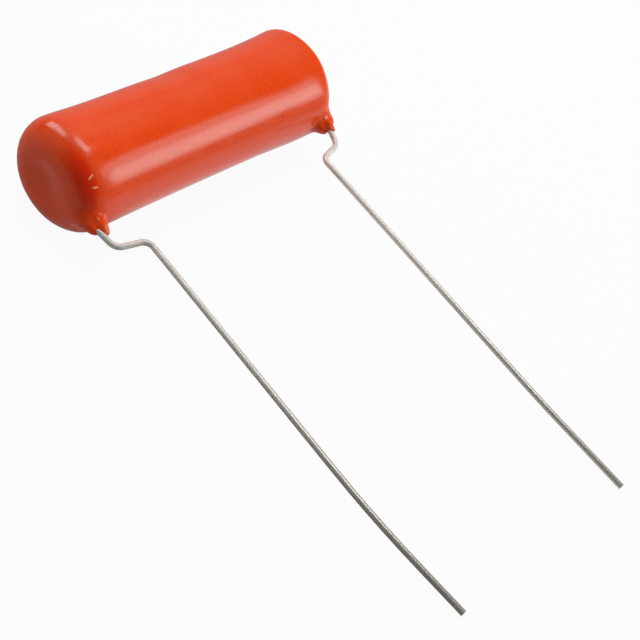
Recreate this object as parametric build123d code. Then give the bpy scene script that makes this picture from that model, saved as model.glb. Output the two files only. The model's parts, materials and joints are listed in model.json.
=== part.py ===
from build123d import *
import os
from math import asin, atan, cos, degrees, sin

# Dipped film and foil capacitor with two crimped radial leads, in millimetres.
# It is built on its body axis: X along the body, leads towards -Y, Z square to the leads.
# lay_down() then sets it on Z = 0 as it comes to rest, on its body and the tip of its longer wire.

# Epoxy coat, outside
BODY_LENGTH = 35.7  # over the end faces
BODY_HEIGHT = 11.25  # over the thick ends, square to the leads
PRESSED_FLAT = 0.85  # width of the flat that pressing the winding leaves on both sides of the body
WAIST = 0.12  # how far the middle lies under the thick ends, on each side
LEFT_SHOULDER = 2.8  # radius between the side and the left end face
RIGHT_SHOULDER = 2.2
END_DISH = 0.35  # depth of the shallow dish in each end face

# Winding, under the coat
COAT_WALL = 0.75  # epoxy over the winding at the waist
END_COAT = 1.5  # epoxy over the terminations
FOIL_RIM = 0.8  # how far the foil stands out past the plastic film at each end
FILM_MARGIN = 0.4  # outer turns of bare film round the foil, seen at the ends
MANDREL_SLIT_WIDTH = 2.6  # slit left when the winding mandrel is drawn out
MANDREL_SLIT_HEIGHT = 0.7
TERMINATION_THICKNESS = 0.5  # sprayed metal over the foil rims

# Leads
WIRE_DIAMETER = 0.644  # 22 AWG
LEAD_SPACING = 25.4  # between the straight runs
LEFT_REACH = 56.25  # from the body axis to a wire's cut tip
RIGHT_REACH = 56.9
LEAD_OVERLAP = 1.8  # how far a wire runs past the body axis on its termination
WIRE_SEAT = 0.12  # how deep a wire beds into the sprayed metal
CRIMP_START = 9.2  # from the body axis to the crimp's outer corner
CRIMP_LENGTH = 0.9  # the crimp's own length along the lead
CRIMP_DIP = 0.35  # how far the crimp's outer corner lies below the plane of the leads
CRIMP_RUN_IN = 0.5  # how far a wire leans inwards between the coat and the crimp
OUTER_BEND = 1.3  # centre-line radii of the crimp's bends
INNER_BEND = 1.1
BOW_PLACE = 0.75  # where a straight run bows most, as a share of its length
LEFT_BOW = 1.0  # how far it bows to the left there
RIGHT_BOW = 0.35
BOW_RADIUS = 120.0
LEFT_DRIFT = 0.2  # how far its tip ends to the left of its straight run
RIGHT_DRIFT = 0.0

# Solder beads
SOLDER_LENGTH = 7.2
SOLDER_COVER = 0.25  # solder over the wire

# Collars of epoxy where the wires leave the coat
COLLAR_WALL = 0.66  # epoxy round the wire at a collar's root
COLLAR_TAPER = 0.08  # how much narrower a collar is where its round end starts
COLLAR_BLEND = 0.8  # rounding between a collar and the body
COLLAR_LENGTH = 1.6  # from the side of the body to the tip of the collar's round end
DROP_DIAMETER = 0.9  # drop that dried on the inner side of each collar
DROP_LENGTH = 0.05  # how far it hangs past the collar's round end

BODY_DEPTH = BODY_HEIGHT + PRESSED_FLAT  # over the thick ends, in the plane of the leads
WIRE_RADIUS = WIRE_DIAMETER / 2
COLLAR_RADIUS = WIRE_RADIUS + COLLAR_WALL
DROP_RADIUS = DROP_DIAMETER / 2
COVER_END = BODY_LENGTH / 2 - END_COAT  # outer face of a termination
FOIL_END = COVER_END - TERMINATION_THICKNESS
FILM_END = FOIL_END - FOIL_RIM
LEAD_ENTRY = COVER_END + WIRE_RADIUS - WIRE_SEAT  # from the body's middle to a wire's centre line inside the coat
WINDING_DEPTH = BODY_DEPTH - 2 * (WAIST + COAT_WALL)
WINDING_HEIGHT = BODY_HEIGHT - 2 * (WAIST + COAT_WALL)
TIP_Y = -BODY_DEPTH / 2 - COLLAR_LENGTH
DOME_RADIUS = COLLAR_RADIUS - COLLAR_TAPER
LEFT, RIGHT = -1, 1


def pressed_bar(depth, height, start, end):
    """Bar along X with the section of a pressed winding: round edges and two flats."""
    section = Plane.YZ.offset(start) * SlotOverall(depth, height)
    return extrude(section, amount=end - start)


def end_curve(side, shoulder):
    """Shoulder and dished end face, from the crest of the side to the body's axis."""
    rise = BODY_HEIGHT / 2 - shoulder
    lean = 2 * degrees(atan(END_DISH / rise))
    turn = JernArc(
        start=(side * (BODY_LENGTH / 2 - shoulder), BODY_HEIGHT / 2),
        tangent=(side, 0),
        radius=shoulder,
        arc_size=-side * (90 + lean),
    )
    dish = TangentArc(turn @ 1, (side * (BODY_LENGTH / 2 - END_DISH), 0), tangent=turn % 1)
    return [turn, dish]


def body_skin():
    """Outer form of the coat without its collars: two turned halves, with the flat's width between them."""
    left_end = end_curve(LEFT, LEFT_SHOULDER)
    right_end = end_curve(RIGHT, RIGHT_SHOULDER)
    side = ThreePointArc(left_end[0] @ 0, (0, BODY_HEIGHT / 2 - WAIST), right_end[0] @ 0)
    axis = Line(left_end[-1] @ 1, right_end[-1] @ 1)
    outline = Plane.XZ * make_face([side, *left_end, *right_end, axis])
    near_half = Pos(0, -PRESSED_FLAT / 2, 0) * revolve(outline, Axis.X, 180)
    strip = extrude(outline + mirror(outline, Plane.XY), PRESSED_FLAT / 2, both=True)
    return near_half + strip + mirror(near_half, Plane.XZ)


def collar(side):
    """Tapered sleeve of epoxy round a wire, with a round end."""
    root = (COLLAR_RADIUS, LEFT_SHOULDER - BODY_DEPTH / 2)
    dome_start = (DOME_RADIUS, TIP_Y + DOME_RADIUS)
    dome = JernArc(dome_start, tangent=(0, -1), radius=DOME_RADIUS, arc_size=-90)
    outline = make_face([Polyline(dome @ 1, (0, root[1]), root, dome_start), dome])
    return Pos(side * LEAD_ENTRY, 0, 0) * revolve(outline, Axis.Y, 360)


def drop(side):
    """Drop of epoxy that dried on the inner side of a collar."""
    bead = Sphere(DROP_RADIUS) + extrude(Circle(DROP_RADIUS), COLLAR_LENGTH)
    offset = side * (LEAD_ENTRY - DOME_RADIUS + DROP_RADIUS)
    return Pos(offset, TIP_Y - DROP_LENGTH + DROP_RADIUS, 0) * Rot(-90, 0, 0) * bead


def wound_element():
    """Winding of film and foil: one solid, with foil rims at both ends and the mandrel's slit through it."""
    turns = pressed_bar(WINDING_DEPTH, WINDING_HEIGHT, -FILM_END, FILM_END)
    margin = 2 * FILM_MARGIN
    foil = pressed_bar(WINDING_DEPTH - margin, WINDING_HEIGHT - margin, -FOIL_END, FOIL_END)
    slit = pressed_bar(MANDREL_SLIT_WIDTH, MANDREL_SLIT_HEIGHT, -FOIL_END, FOIL_END)
    return turns + foil - slit


def termination(side, wound, wire):
    """Cap of sprayed metal over the foil rim, flush with the film round it, with the wire bedded in its face."""
    near, far = sorted((side * FILM_END, side * COVER_END))
    return pressed_bar(WINDING_DEPTH, WINDING_HEIGHT, near, far) - wound - wire


def lead(side, reach, bow, drift):
    """Crimped wire from its solder joint to its tip."""
    straight_x = LEAD_SPACING / 2
    crimp_end = CRIMP_START + CRIMP_LENGTH
    route = [
        (side * LEAD_ENTRY, LEAD_OVERLAP, 0),
        (side * LEAD_ENTRY, TIP_Y + COLLAR_WALL, 0),
        (side * (LEAD_ENTRY - CRIMP_RUN_IN), -CRIMP_START, -CRIMP_DIP),
        (side * straight_x, -crimp_end, 0),
        (side * straight_x - bow, -crimp_end - BOW_PLACE * (reach - crimp_end), 0),
        (side * straight_x - drift, -reach, 0),
    ]
    path = FilletPolyline(*route, radius=[OUTER_BEND, OUTER_BEND, INNER_BEND, BOW_RADIUS])
    section = Plane(origin=path @ 0, z_dir=path % 0) * Circle(WIRE_RADIUS)
    return sweep(section, path=path)


def solder_bead(side):
    """Bead of solder over the inner end of a wire, flat on the termination."""
    radius = 2 * WIRE_RADIUS - WIRE_SEAT + SOLDER_COVER
    half_slot = SlotOverall(SOLDER_LENGTH, 2 * radius) & Pos(0, radius / 2) * Rectangle(SOLDER_LENGTH, radius)
    return Pos(side * COVER_END, 0, 0) * revolve(Plane.YZ * half_slot, Axis.Y, side * 180)


def coat_outside():
    """Coat with a collar and its drop blended into it round each wire."""
    coat = body_skin()
    for side in (LEFT, RIGHT):
        sleeve = collar(side)
        joined = coat + sleeve
        coat = fillet(new_edges(coat, sleeve, combined=joined), COLLAR_BLEND) + drop(side)
    return coat


def epoxy_coating(wires):
    """Coat, filled up to the winding, its terminations, the solder and the wires."""
    coat = coat_outside() - pressed_bar(WINDING_DEPTH, WINDING_HEIGHT, -COVER_END, COVER_END)
    for side, wire in wires.items():
        coat = coat - solder_bead(side) - wire
    return coat


def capacitor():
    """All nodes by name, on the body axis."""
    wound = wound_element()
    wires = {
        LEFT: lead(LEFT, LEFT_REACH, LEFT_BOW, LEFT_DRIFT),
        RIGHT: lead(RIGHT, RIGHT_REACH, RIGHT_BOW, RIGHT_DRIFT),
    }
    nodes = {"epoxy_coating": epoxy_coating(wires), "wound_element": wound}
    for side, name in ((LEFT, "left"), (RIGHT, "right")):
        nodes[f"{name}_end_termination"] = termination(side, wound, wires[side])
        nodes[f"{name}_solder_joint"] = solder_bead(side) - wires[side]
        nodes[f"{name}_lead"] = wires[side]
    return nodes


def rest_pose():
    """Tilt at which the longer wire's tip and the body reach one level, and the body axis's height over it."""
    reach = max(LEFT_REACH, RIGHT_REACH)
    tilt = 0
    for _ in range(30):
        height = (BODY_HEIGHT + PRESSED_FLAT * sin(tilt)) / 2
        tilt = asin((height - WIRE_RADIUS * cos(tilt)) / reach)
    return Pos(0, 0, height) * Rot(degrees(tilt), 0, 0)


def lay_down(nodes):
    """Nodes as they rest on Z = 0, with the origin under the middle of the whole."""
    laid = {name: rest_pose() * piece for name, piece in nodes.items()}
    middle = Compound(list(laid.values())).bounding_box().center()
    return {name: Pos(-middle.X, -middle.Y, 0) * piece for name, piece in laid.items()}


os.makedirs("parts", exist_ok=True)
for node, shape in lay_down(capacitor()).items():
    export_step(shape, f"parts/{node}.step")
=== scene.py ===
import json
from math import atan2, cos, exp, hypot, inf, pi, radians, sin, tau
import bmesh
import bpy
from mathutils import Matrix, Vector


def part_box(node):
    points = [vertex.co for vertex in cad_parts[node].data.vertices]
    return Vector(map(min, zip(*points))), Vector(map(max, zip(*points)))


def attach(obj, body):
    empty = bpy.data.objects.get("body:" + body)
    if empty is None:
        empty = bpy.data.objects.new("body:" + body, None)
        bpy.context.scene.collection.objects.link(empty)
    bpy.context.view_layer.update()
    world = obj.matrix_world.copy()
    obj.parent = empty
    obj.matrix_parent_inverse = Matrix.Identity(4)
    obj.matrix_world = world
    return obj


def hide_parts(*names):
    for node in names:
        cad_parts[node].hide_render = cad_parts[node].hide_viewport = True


# Dipped film capacitor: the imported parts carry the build, and this dresses them.
# The coat is shaped in millimetres on the body's own axis, X along the body and the leads towards -Y,
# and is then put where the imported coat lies.

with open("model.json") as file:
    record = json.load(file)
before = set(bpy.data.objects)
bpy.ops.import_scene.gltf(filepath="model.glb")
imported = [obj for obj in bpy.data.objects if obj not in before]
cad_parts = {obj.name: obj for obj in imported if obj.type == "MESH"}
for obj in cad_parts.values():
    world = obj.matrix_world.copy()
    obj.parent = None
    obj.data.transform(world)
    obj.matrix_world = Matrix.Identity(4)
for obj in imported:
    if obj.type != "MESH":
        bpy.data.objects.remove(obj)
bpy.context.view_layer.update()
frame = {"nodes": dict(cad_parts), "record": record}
nodes = frame["nodes"]
record = frame["record"]
mm = 0.001
print("frame loaded:", len(nodes), "nodes")


def boxOf(name):
    low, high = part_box(name)
    return Vector(low), Vector(high)


windingLow, windingHigh = boxOf("wound_element")         # symmetric about the body's axis
middle = (windingLow + windingHigh) / 2
leftTip = next(mount for mount in record["mounts"] if mount["name"] == "left_lead_end")
tilt = atan2(-leftTip["axis"][2], -leftTip["axis"][1])   # the leads slope down to the surface
wireRadius = leftTip["dims"]["r_mm"]
place = Matrix.Translation(middle) @ Matrix.Rotation(tilt, 4, "X") @ Matrix.Scale(mm, 4)
coatLow, coatHigh = boxOf("epoxy_coating")


class Signal:
    # wraps one socket, so that sums on it build their Math nodes
    def __init__(self, tree, socket=None):
        self.tree = tree
        self.socket = socket

    def node(self, kind, settings=None, inputs=None, output=0):
        made = self.tree.nodes.new(kind)
        for name, value in (settings or {}).items():
            setattr(made, name, value)
        for name, value in (inputs or {}).items():
            if isinstance(value, Signal):
                self.tree.links.new(value.socket, made.inputs[name])
            else:
                made.inputs[name].default_value = value
        return Signal(self.tree, made.outputs[output] if made.outputs else None)

    def beside(self, name):
        # another output of the same node
        return Signal(self.tree, self.socket.node.outputs[name])

    def maths(self, operation, first, second):
        return self.node("ShaderNodeMath", {"operation": operation}, {0: first, 1: second})

    def __add__(self, other):
        return self.maths("ADD", self, other)

    def __radd__(self, other):
        return self.maths("ADD", other, self)

    def __sub__(self, other):
        return self.maths("SUBTRACT", self, other)

    def __rsub__(self, other):
        return self.maths("SUBTRACT", other, self)

    def __mul__(self, other):
        return self.maths("MULTIPLY", self, other)

    def __rmul__(self, other):
        return self.maths("MULTIPLY", other, self)

    def ramp(self, low, high):
        # 0 below low, 1 above high, smooth between
        return self.node("ShaderNodeMapRange", {"interpolation_type": "SMOOTHSTEP"},
                         {"Value": self, "From Min": low, "From Max": high})

    def between(self, low, high):
        # low where this signal is 0, high where it is 1
        return self * (high - low) + low

    def tint(self, first, second):
        # this signal mixes two colours, on the sockets that a Mix node keeps for them
        first, second = (tone if isinstance(tone, Signal) else (*tone, 1) for tone in (first, second))
        return self.node("ShaderNodeMix", {"data_type": "RGBA"}, {0: self, 6: first, 7: second}, output=2)

    def mixed(self, factor, first, second):
        return self.node("ShaderNodeMixShader", None, {0: factor, 1: first, 2: second})

    def noise(self, where, scale, detail=2.0):
        return self.node("ShaderNodeTexNoise", None, {"Vector": where, "Scale": scale, "Detail": detail})

    def mapped(self, location=(0, 0, 0), rotation=(0, 0, 0), scale=(1, 1, 1), kind="TEXTURE"):
        return self.node("ShaderNodeMapping", {"vector_type": kind},
                         {"Vector": self, "Location": location, "Rotation": rotation, "Scale": scale})

    def part(self, axis):
        return self.node("ShaderNodeSeparateXYZ", None, {"Vector": self}, output=axis)

    def length(self):
        return self.node("ShaderNodeVectorMath", {"operation": "LENGTH"}, {0: self}, output="Value")

    def bump(self):
        # this signal is a height in metres
        return self.node("ShaderNodeBump", None, {"Strength": 1.0, "Distance": 1.0, "Height": self})


def newMaterial(name, settings):
    made = bpy.data.materials.new(name)
    made.use_nodes = True
    shader = made.node_tree.nodes["Principled BSDF"]
    for socket, value in settings.items():
        shader.inputs[socket].default_value = value
    start = Signal(made.node_tree)
    where = start.node("ShaderNodeTexCoord", output="Object")
    return made, shader, start, where


def feed(start, shader, **links):
    for name, signal in links.items():
        start.tree.links.new(signal.socket, shader.inputs[name.replace("_", " ")])


epoxy = {
    "ior": 1.53,
    "sheen": (0.6, 1, 1, 1),
    "color": (0.85, 0.066, 0.007),
    "deepColor": (0.82, 0.055, 0.005),
    "paleColor": (0.87, 0.084, 0.012),
    "roughness": (0.15, 0.20),
    "cloudScale": 260.0,      # scales are per metre, and heights in metres
    "cloudEdge": (0.35, 0.65),
    "grainScale": 5200.0,
    "grainEdge": (0.38, 0.66),
    "grainTint": 0.9,
    "grainHeight": 0.000006,
    "peelScale": 1700.0,
    "peelHeight": 0.000012,
    # painted shade on the left shoulder, a darker and deeper red
    "thickColor": (0.84, 0.030, 0.003),
    "thick": ((-16.7, -3.2, 3.3), (1.05, 3.9, 3.6)),    # painted shade: the left shoulder darkened to a deeper red: middle, reach
    "thickEdge": (0.45, 1.15),
    "marks": [                # from, to, half width, colour
        ((-16.55, -3.70, 4.02), (-15.98, -3.54, 4.50), 0.10, (0.95, 0.48, 0.28)),    # pale flecks
        ((-16.37, -4.36, 3.53), (-15.92, -4.55, 3.60), 0.12, (0.95, 0.48, 0.28)),
        ((-16.24, -6.16, 0.86), (-16.14, -6.22, 0.78), 0.11, (0.88, 0.22, 0.09)),    # painted highlights: glints on the left collar's crest
        ((-15.53, -6.30, 0.70), (-15.43, -6.32, 0.60), 0.16, (0.88, 0.17, 0.10)),
        ((-15.80, -7.05, 0.50), (-16.00, -7.65, 0.25), 0.36, (0.85, 0.17, 0.06)),    # thin over the wires
        ((16.36, -7.20, 0.48), (16.48, -7.75, 0.10), 0.30, (0.85, 0.15, 0.05)),
    ],
    "markEdge": (0.55, 1.0),
    "markDepth": 3,           # how deep a mark reaches, in half widths
    "markRoughness": 0.25,
}


def markMask(where, first, last, halfWidth):
    # a long spot on the skin, from one place on the body to another
    first, last = Vector(first), Vector(last)
    along = (last - first).normalized()
    across = along.cross(Vector((0, *first.yz))).normalized()
    turn = Matrix((along, across, along.cross(across))).transposed()
    spin = (place.to_quaternion().to_matrix() @ turn).to_euler()
    reach = Vector(((first - last).length / 2 + halfWidth, halfWidth, epoxy["markDepth"] * halfWidth))
    local = where.mapped(place @ ((first + last) / 2), spin, reach * mm)
    return 1.0 - local.length().ramp(*epoxy["markEdge"])


def epoxyMaterial():
    settings = {"IOR": epoxy["ior"], "Specular Tint": epoxy["sheen"]}
    made, shader, start, where = newMaterial("orangeEpoxy", settings)
    clouds = start.noise(where, epoxy["cloudScale"], detail=3.0).ramp(*epoxy["cloudEdge"])
    grain = start.noise(where, epoxy["grainScale"])
    peel = start.noise(where, epoxy["peelScale"])
    tone = clouds.tint(epoxy["deepColor"], epoxy["color"])
    tone = (grain.ramp(*epoxy["grainEdge"]) * epoxy["grainTint"]).tint(tone, epoxy["paleColor"])
    rough = clouds.between(*epoxy["roughness"])
    # painted shade: a deeper, darker red over the left shoulder, fading out from its middle
    thickAt, thickReach = (Vector(size) for size in epoxy["thick"])
    depth = where.mapped(place @ thickAt, place.to_quaternion().to_euler(), thickReach * mm).length()
    tone = (1.0 - depth.ramp(*epoxy["thickEdge"])).tint(tone, epoxy["thickColor"])
    # the marks paint pale flecks, painted highlights on the left collar and amber where the coat is thin over
    # the wires
    for first, last, halfWidth, color in epoxy["marks"]:
        mark = markMask(where, first, last, halfWidth)
        tone = mark.tint(tone, color)
        rough = rough + mark * epoxy["markRoughness"]
    bump = (peel * epoxy["peelHeight"] + grain * epoxy["grainHeight"]).bump()
    feed(start, shader, Base_Color=tone, Roughness=rough, Normal=bump)
    return made


left, right = -1, 1

coat = {
    "length": (coatHigh - coatLow).x / mm,
    "flat": 0.85,             # the winding is pressed, so the section is wider than high by this
    "flatEase": 2.2,          # how softly the flats run into the round edges
    "shoulders": {left: 2.8, right: 1.8},
    "waist": 0.12,
    "dish": 0.40,
    "spinSteps": 240,
    "sideCuts": 66,
    "endCuts": 13,
    "shoulderSegments": 18,
    "cavitySteps": 96,
    # soft unevenness of the dipped coat: middle, reach along the body and across it, how far it stands out
    "swells": [
        ((-0.4, 3.9, 4.7), 1.7, 2.2, -0.16),                 # dent in the back
        ((3.2, 3.9, 4.7), 1.7, 2.2, 0.07),
        ((-14.6, 4.4, 3.9), 2.6, 3.0, 0.12),                 # fuller towards the ends
        ((14.6, 4.4, 3.9), 2.6, 3.0, 0.14),
        ((17.0, 3.6, 3.0), 1.8, 3.4, 0.26),
        ((17.2, -0.6, 5.0), 3.0, 2.6, 0.14),
        ((16.9, -5.8, 0.8), 1.6, 1.6, 0.04),                 # over the right collar
        ((-16.7, -3.4, -4.1), 1.6, 2.5, -0.16),
        ((13.5, -5.2, -2.4), 3.5, 2.2, 0.12),
        ((-15.4, -4.0, 4.3), 0.9, 3.6, -0.10),               # easier run into the shoulders in front
        ((16.5, -4.3, 4.1), 0.9, 3.6, -0.10),
        ((-17.8, 0.6, 0.7), 1.5, 1.1, -0.10),                # dimple in the left end
        ((8.0, -4.0, 4.2), 3.5, 2.5, 0.04),
        ((-7.0, -3.8, 4.0), 3.5, 2.5, -0.03),
    ],
}
coat["height"] = (coatHigh - coatLow).z / mm - coat["flat"] * sin(tilt)

# each collar is a mound with blunt drops on it, placed outwards from the wire and up from it,
# with their radius, how low they hang and how steep their side is
collar = {
    "wireX": boxOf("right_lead")[1].x / mm - wireRadius,     # centre line where a wire leaves the coat
    "flare": {left: 1.30, right: 1.80},
    "drops": {
        left: [
            (-0.20, -0.22, 0.84, 6.80, 1.8),
            (0.20, -0.16, 0.50, 7.10, 2.4),
            (-0.60, 0.02, 0.50, 7.78, 2.4),
        ],
        right: [
            (-0.10, -0.30, 1.15, 6.72, 1.6),
            (0.40, 0.05, 0.80, 6.45, 2.0),
            (0.80, 0.12, 0.34, 6.80, 2.4),
            (0.06, 0.10, 0.38, 7.80, 3.2),
            (-0.52, -0.36, 0.50, 7.28, 2.4),
        ],
    },
    "dropBlend": 1.0,
    "start": 2.6,             # how far from the axis a collar begins, and over what it comes in
    "ease": 1.4,
    "reach": 3.4,             # nothing is drawn out further from the wire than this
    "fineStart": 2.4,         # where the mesh is made finer
    "fineReach": 2.3,
    "fineRounds": 2,
}


def turnedForm():
    # a few vertices of the outline, its corners rounded, turned about X
    end, radius = coat["length"] / 2, coat["height"] / 2
    points = ((-end, 0, 0), (-end, 0, radius), (end, 0, radius), (end, 0, 0))
    bm = bmesh.new()
    verts = [bm.verts.new(point) for point in points]
    for pair in zip(verts, verts[1:]):
        bm.edges.new(pair)
    for vert, side in zip(verts[1:3], (left, right)):
        bmesh.ops.bevel(bm, geom=[vert], offset=coat["shoulders"][side], offset_type="OFFSET",
                        affect="VERTICES", segments=coat["shoulderSegments"], profile=0.5, material=-1)
    straight = sorted(bm.edges, key=lambda edge: -edge.calc_length())[:3]    # the side and the two ends
    for edge, cuts in zip(straight, (coat["sideCuts"], coat["endCuts"], coat["endCuts"])):
        bmesh.ops.subdivide_edges(bm, edges=[edge], cuts=cuts)
    bmesh.ops.spin(bm, geom=bm.verts[:] + bm.edges[:], cent=(0, 0, 0), axis=(1, 0, 0), angle=tau,
                   steps=coat["spinSteps"], use_merge=True)
    bmesh.ops.remove_doubles(bm, verts=bm.verts[:], dist=0.0001)
    bmesh.ops.recalc_face_normals(bm, faces=bm.faces[:])
    return bm


def smoothMax(first, second, blend):
    lift = max(blend - abs(first - second), 0.0) / blend
    return max(first, second) + lift * lift * blend / 4


def sideOf(x):
    return left if x < 0 else right


def settle(point):
    # waist, dished ends and the pressed flats
    x, y, z = point
    side, edge, ease = sideOf(x), coat["height"] / 2, coat["flatEase"]
    straight = coat["length"] / 2 - coat["shoulders"][side]
    crest = edge - coat["shoulders"][side]
    around = hypot(y, z)
    if around < crest:
        x -= side * coat["dish"] * (cos(pi * around / crest) + 1) / 2
    pull = 1 - coat["waist"] * max(0.0, 1 - (x / straight) ** 2) / edge
    y, z = y * pull, z * pull
    y += coat["flat"] / 2 * y / hypot(y, ease) * hypot(edge, ease) / edge
    return Vector((x, y, z))


def swell(bm):
    for centre, along, across, height in coat["swells"]:
        bm.normal_update()
        for vert in bm.verts:
            apart = vert.co - Vector(centre)
            vert.co += vert.normal * height * exp(-(apart.x / along) ** 2 - (apart.yz.length / across) ** 2)


def refineCollars(bm):
    def nearWire(vert):
        x, y, z = vert.co
        return y < -collar["fineStart"] and hypot(abs(x) - collar["wireX"], z) < collar["fineReach"]

    for _ in range(collar["fineRounds"]):
        edges = [edge for edge in bm.edges if all(nearWire(vert) for vert in edge.verts)]
        bmesh.ops.subdivide_edges(bm, edges=edges, cuts=1, use_grid_fill=True)


def dropDepth(side, x, z):
    # how far towards the leads the collar's drops reach at this spot
    depth = -inf
    for out, up, radius, low, steep in collar["drops"][side]:
        apart = hypot(side * x - collar["wireX"] - out, z - up) / radius
        depth = smoothMax(depth, low - apart ** steep * radius, collar["dropBlend"])
    return depth


def drawCollars(bm):
    for vert in bm.verts:
        x, y, z = vert.co
        side = sideOf(x)
        if y > -collar["start"] or hypot(x - side * collar["wireX"], z) > collar["reach"]:
            continue
        share = min(1.0, (-collar["start"] - y) / collar["ease"])
        share = share * share * (3 - 2 * share)
        drawn = smoothMax(-y, dropDepth(side, x, z), collar["flare"][side])
        vert.co.y -= share * (drawn + y)


def hollow(bm):
    # the space for the winding and its sprayed ends, with the faces turned inwards
    reach = boxOf("right_end_termination")[1].x / mm
    radius = ((windingHigh - windingLow).z / mm - coat["flat"] * sin(tilt)) / 2
    steps = coat["cavitySteps"]
    bar = bmesh.new()
    bmesh.ops.create_cone(bar, cap_ends=True, segments=steps, radius1=radius, radius2=radius, depth=2 * reach)
    bmesh.ops.rotate(bar, verts=bar.verts, matrix=Matrix.Rotation(pi / steps, 3, "Z"))
    bmesh.ops.rotate(bar, verts=bar.verts, matrix=Matrix.Rotation(pi / 2, 3, "Y"))
    for vert in bar.verts:
        vert.co.y += coat["flat"] / 2 * (1 if vert.co.y > 0 else -1)
    bmesh.ops.reverse_faces(bar, faces=bar.faces)
    inside = bpy.data.meshes.new("coatCavity")
    bar.to_mesh(inside)
    bar.free()
    bm.from_mesh(inside)
    bpy.data.meshes.remove(inside)


def coatPiece(material):
    bm = turnedForm()
    for vert in bm.verts:
        vert.co = settle(vert.co)
    swell(bm)
    refineCollars(bm)
    drawCollars(bm)
    for face in bm.faces:
        face.smooth = True
    hollow(bm)
    bm.transform(place)
    mesh = bpy.data.meshes.new("epoxyCoat")
    bm.to_mesh(mesh)
    bm.free()
    mesh.materials.append(material)
    piece = bpy.data.objects.new("epoxyCoat", mesh)
    bpy.context.scene.collection.objects.link(piece)
    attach(piece, "root")
    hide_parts("epoxy_coating")
    print("coat:", len(mesh.polygons), "faces")


coatPiece(epoxyMaterial())


wire = {
    # bright tin, dull tin and the tip's; the right lead's tones are lighter and the tips take a tone of their
    # own, as painted light and shade along the wires
    "left": ((0.82, 0.79, 0.74), (0.68, 0.64, 0.575), (0.81, 0.745, 0.665)),
    "right": ((0.90, 0.87, 0.815), (0.78, 0.735, 0.665), (0.97, 0.905, 0.81)),
    "paintedTipShare": 0.7,
    "streakScale": (2600.0, 110.0, 2600.0),
    "streakEdge": (0.40, 0.70),
    "streakHeight": 0.0000005,
    "blotchScale": 480.0,
    "blotchEdge": (0.36, 0.68),
    "blotchShare": 0.55,      # of the wear, and the rest is streaks
    "roughness": (0.42, 0.54),
    "polish": 0.58,           # how much smoother the tips are
    "metal": (0.32, 0.68),    # duller by the coat, brighter towards the tips
}


def wireMaterial(side):
    made, shader, start, where = newMaterial(side + "TinnedWire", {})
    brightTin, dullTin, paintedTipTone = wire[side]
    drawn = start.noise(where.mapped(scale=wire["streakScale"], kind="POINT"), 1.0, detail=3.0)
    blotch = start.noise(where, wire["blotchScale"], detail=3.0).ramp(*wire["blotchEdge"])
    streaks = drawn.ramp(*wire["streakEdge"])
    worn = blotch * wire["blotchShare"] + streaks * (1 - wire["blotchShare"])
    # painted light and shade: towards the tips the wire takes a painted tip tone, lighter at the right tip
    # and warmer and darker at the left
    tipward = 1.0 - where.part("Y").ramp(boxOf("left_lead")[0].y, coatLow.y)
    tone = worn.tint(brightTin, dullTin)
    tone = (tipward * wire["paintedTipShare"]).tint(tone, paintedTipTone)
    rough = worn.between(*wire["roughness"]) * (1.0 - tipward * wire["polish"])
    metal = tipward.between(*wire["metal"])
    bump = (drawn * wire["streakHeight"]).bump()
    feed(start, shader, Base_Color=tone, Roughness=rough, Metallic=metal, Normal=bump)
    return made


hidden = {
    "winding": {
        "color": (0.70, 0.70, 0.68),
        "dark": (0.52, 0.52, 0.50),
        "scale": (60.0, 4000.0, 4000.0),
        "metal": 0.35,
        "rough": (0.34, 0.22),    # where it is dark, and elsewhere
        "height": 0.000002,
    },
    "sprayedMetal": {
        "color": (0.50, 0.50, 0.48),
        "dark": (0.30, 0.30, 0.29),
        "scale": (5200.0, 5200.0, 5200.0),
        "metal": 0.9,
        "rough": (0.82, 0.62),
        "height": 0.000012,
    },
    "solder": {
        "color": (0.66, 0.66, 0.64),
        "dark": (0.47, 0.47, 0.46),
        "scale": (1500.0, 1500.0, 1500.0),
        "metal": 1.0,
        "rough": (0.40, 0.24),
        "height": 0.000003,
    },
}
hiddenEdge = (0.35, 0.65)


def hiddenMaterial(name):
    look = hidden[name]
    made, shader, start, where = newMaterial(name, {"Metallic": look["metal"]})
    grain = start.noise(where.mapped(scale=look["scale"], kind="POINT"), 1.0, detail=3.0).ramp(*hiddenEdge)
    tone = grain.tint(look["dark"], look["color"])
    rough = grain.between(*look["rough"])
    feed(start, shader, Base_Color=tone, Roughness=rough, Normal=(grain * look["height"]).bump())
    return made


def finishNode(name, material):
    mesh = nodes[name].data
    for index in range(max(1, len(nodes[name].material_slots))):
        if index < len(mesh.materials):
            mesh.materials[index] = material
        else:
            mesh.materials.append(material)


spray = hiddenMaterial("sprayedMetal")
solder = hiddenMaterial("solder")
for side in ("left", "right"):
    finishNode(side + "_lead", wireMaterial(side))
    finishNode(side + "_end_termination", spray)
    finishNode(side + "_solder_joint", solder)
finishNode("wound_element", hiddenMaterial("winding"))
print("leads and hidden parts finished")


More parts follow.
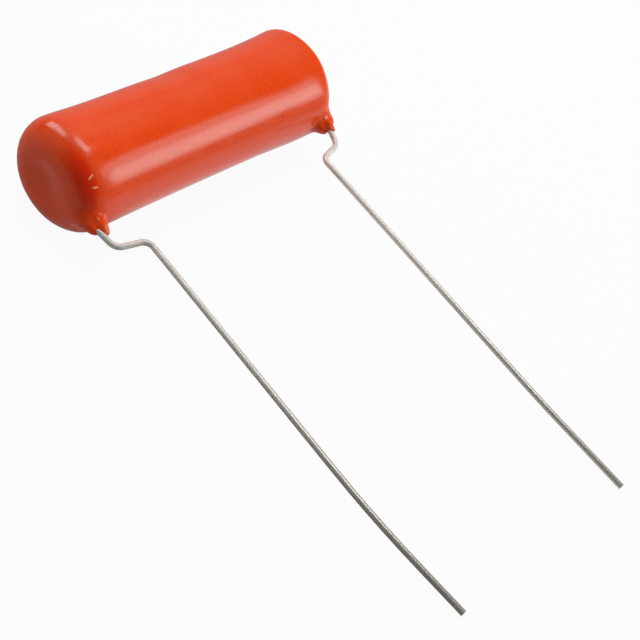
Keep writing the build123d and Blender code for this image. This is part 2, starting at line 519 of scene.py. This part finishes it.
studio = {
    "floorReach": 1.2,        # metres, as all places here
    "worldLight": 0.11,
    "worldGloss": 0.02,
    "floorShadow": 0.06,      # share of real light and shadow in the floor that the camera sees
    "paper": 0.62,
    # the floor in reflections is a painted reflection of light and shade: brightest by the leads, dim in
    # front of them and dark off the left end, as painted shadow of the body
    "paintedLitFloor": 0.72,
    "paintedFrontShadow": 0.32,
    "paintedSideShadow": 0.23,
    "paintedCornerShadow": 0.06,
    "litGlowLeft": (-0.014, -0.006),
    "litGlowFront": (-0.007, 0.004),
    "litGlowBack": (0.026, 0.034),
    "cornerBack": (0.008, 0.018),
    # azimuth and elevation seen from the middle, distance, width, height, lean, radiance, in reflections
    "lamps": {
        "keyBox": (-48.0, 24.5, 0.60, 0.25, 0.42, 0, 2.0, True),
        "keyCore": (-49.0, 20.5, 0.58, 0.18, 0.20, 0, 2.1, True),
        "frontFill": (-40.0, 12.0, 0.60, 0.60, 0.26, 0, 3.5, False),
        "backStrip": (96.0, 38.5, 0.60, 0.19, 0.46, -19, 3.9, True),
        "topStrip": (25.0, 73.5, 0.60, 0.28, 0.17, 0, 4.1, True),
        "ceiling": (60.0, 30.0, 0.64, 0.56, 0.74, 0, 0.24, True),
        "backAir": (52.0, 13.0, 0.60, 0.34, 0.26, 0, 0.13, True),
        "sideAir": (132.0, 23.0, 0.66, 0.52, 0.54, 0, 0.22, True),
        "fillBox": (50.0, 62.0, 0.60, 0.60, 0.60, 0, 1.75, False),
    },
}


def towards(azimuth, elevation):
    a, e = radians(azimuth), radians(elevation)
    return Vector((cos(a) * cos(e), sin(a) * cos(e), sin(e)))


def facing(way, roll):
    # the turn that points an object's Z along a way, rolled about it
    return way.to_track_quat("Z", "Y").to_matrix() @ Matrix.Rotation(radians(roll), 3, "Z")


def emptied(owner):
    owner.use_nodes = True
    owner.node_tree.nodes.clear()
    start = Signal(owner.node_tree)
    return start, start.node("ShaderNodeLightPath", output="Is Camera Ray")


def shades(start, kind, levels):
    return [start.node(kind, None, {"Color": (1, 1, 1, 1), "Strength": level}) for level in levels]


def paperMaterial():
    made = bpy.data.materials.new("studioPaper")
    start, seen = emptied(made)
    paper = start.node("ShaderNodeBsdfDiffuse", None, {"Color": (*[studio["paper"]] * 3, 1)})
    # painted reflection: only in reflections the floor glows, bright by the leads and dimmer as painted
    # shadow in front and off the left end
    white, litGlow, front, side, corner = shades(
        start, "ShaderNodeEmission",
        (1.0, studio["paintedLitFloor"], studio["paintedFrontShadow"], studio["paintedSideShadow"], studio["paintedCornerShadow"]))
    where = start.node("ShaderNodeTexCoord", output="Object")
    across, back = where.part("X"), where.part("Y")
    lit = start.mixed((seen + seen.beside("Is Transmission Ray")) * (1 - studio["floorShadow"]), paper, white)
    offLeft = start.mixed(back.ramp(*studio["cornerBack"]), corner, side)
    inLitGlow = back.ramp(*studio["litGlowFront"]) - back.ramp(*studio["litGlowBack"])
    reflected = start.mixed(across.ramp(*studio["litGlowLeft"]), offLeft, start.mixed(inLitGlow, front, litGlow))
    both = start.mixed(seen.beside("Is Glossy Ray"), lit, reflected)
    start.node("ShaderNodeOutputMaterial", None, {"Surface": both})
    return made


def buildFloor():
    bm = bmesh.new()
    bmesh.ops.create_grid(bm, x_segments=1, y_segments=1, size=studio["floorReach"])
    mesh = bpy.data.meshes.new("studioFloor")
    bm.to_mesh(mesh)
    bm.free()
    mesh.materials.append(paperMaterial())
    floor = bpy.data.objects.new("studioFloor", mesh)
    bpy.context.scene.collection.objects.link(floor)


def buildAir():
    world = bpy.data.worlds.new("studioAir")
    bpy.context.scene.world = world
    start, seen = emptied(world)
    white, lightAir, glossAir = shades(
        start, "ShaderNodeBackground", (1.0, studio["worldLight"], studio["worldGloss"]))
    air = start.mixed(seen, start.mixed(seen.beside("Is Glossy Ray"), lightAir, glossAir), white)
    start.node("ShaderNodeOutputWorld", None, {"Surface": air})


def buildLamps():
    for name, values in studio["lamps"].items():
        azimuth, elevation, distance, width, height, lean, radiance, reflects = values
        lamp = bpy.data.lights.new(name, "AREA")
        lamp.shape = "RECTANGLE"
        lamp.size, lamp.size_y = width, height
        lamp.energy = radiance * pi * width * height
        holder = bpy.data.objects.new(name, lamp)
        way = towards(azimuth, elevation)
        holder.location = middle + way * distance
        holder.rotation_euler = facing(way, lean).to_euler()
        holder.visible_glossy = reflects
        holder.visible_camera = False
        bpy.context.scene.collection.objects.link(holder)


shot = {
    "azimuth": -65.02,        # 0 looks along +Y
    "elevation": 45.44,
    "roll": 26.78,
    "distance": 0.14472,
    "aim": (0.00003, 0.00102, 0.0),
    "lens": 79.87,
    "sensor": 36.0,
    "clip": (0.005, 10.0),
}


def buildCamera():
    data = bpy.data.cameras.new("studioCamera")
    data.lens, data.sensor_width = shot["lens"], shot["sensor"]
    data.clip_start, data.clip_end = shot["clip"]
    camera = bpy.data.objects.new("studioCamera", data)
    bpy.context.scene.collection.objects.link(camera)
    back = towards(shot["azimuth"] - 90, shot["elevation"])
    turn = facing(back, shot["roll"]).to_4x4()
    camera.matrix_world = Matrix.Translation(Vector(shot["aim"]) + back * shot["distance"]) @ turn
    bpy.context.scene.camera = camera


buildFloor()
buildAir()
buildLamps()
buildCamera()
bpy.context.scene.view_settings.view_transform = "Standard"
print("studio ready")
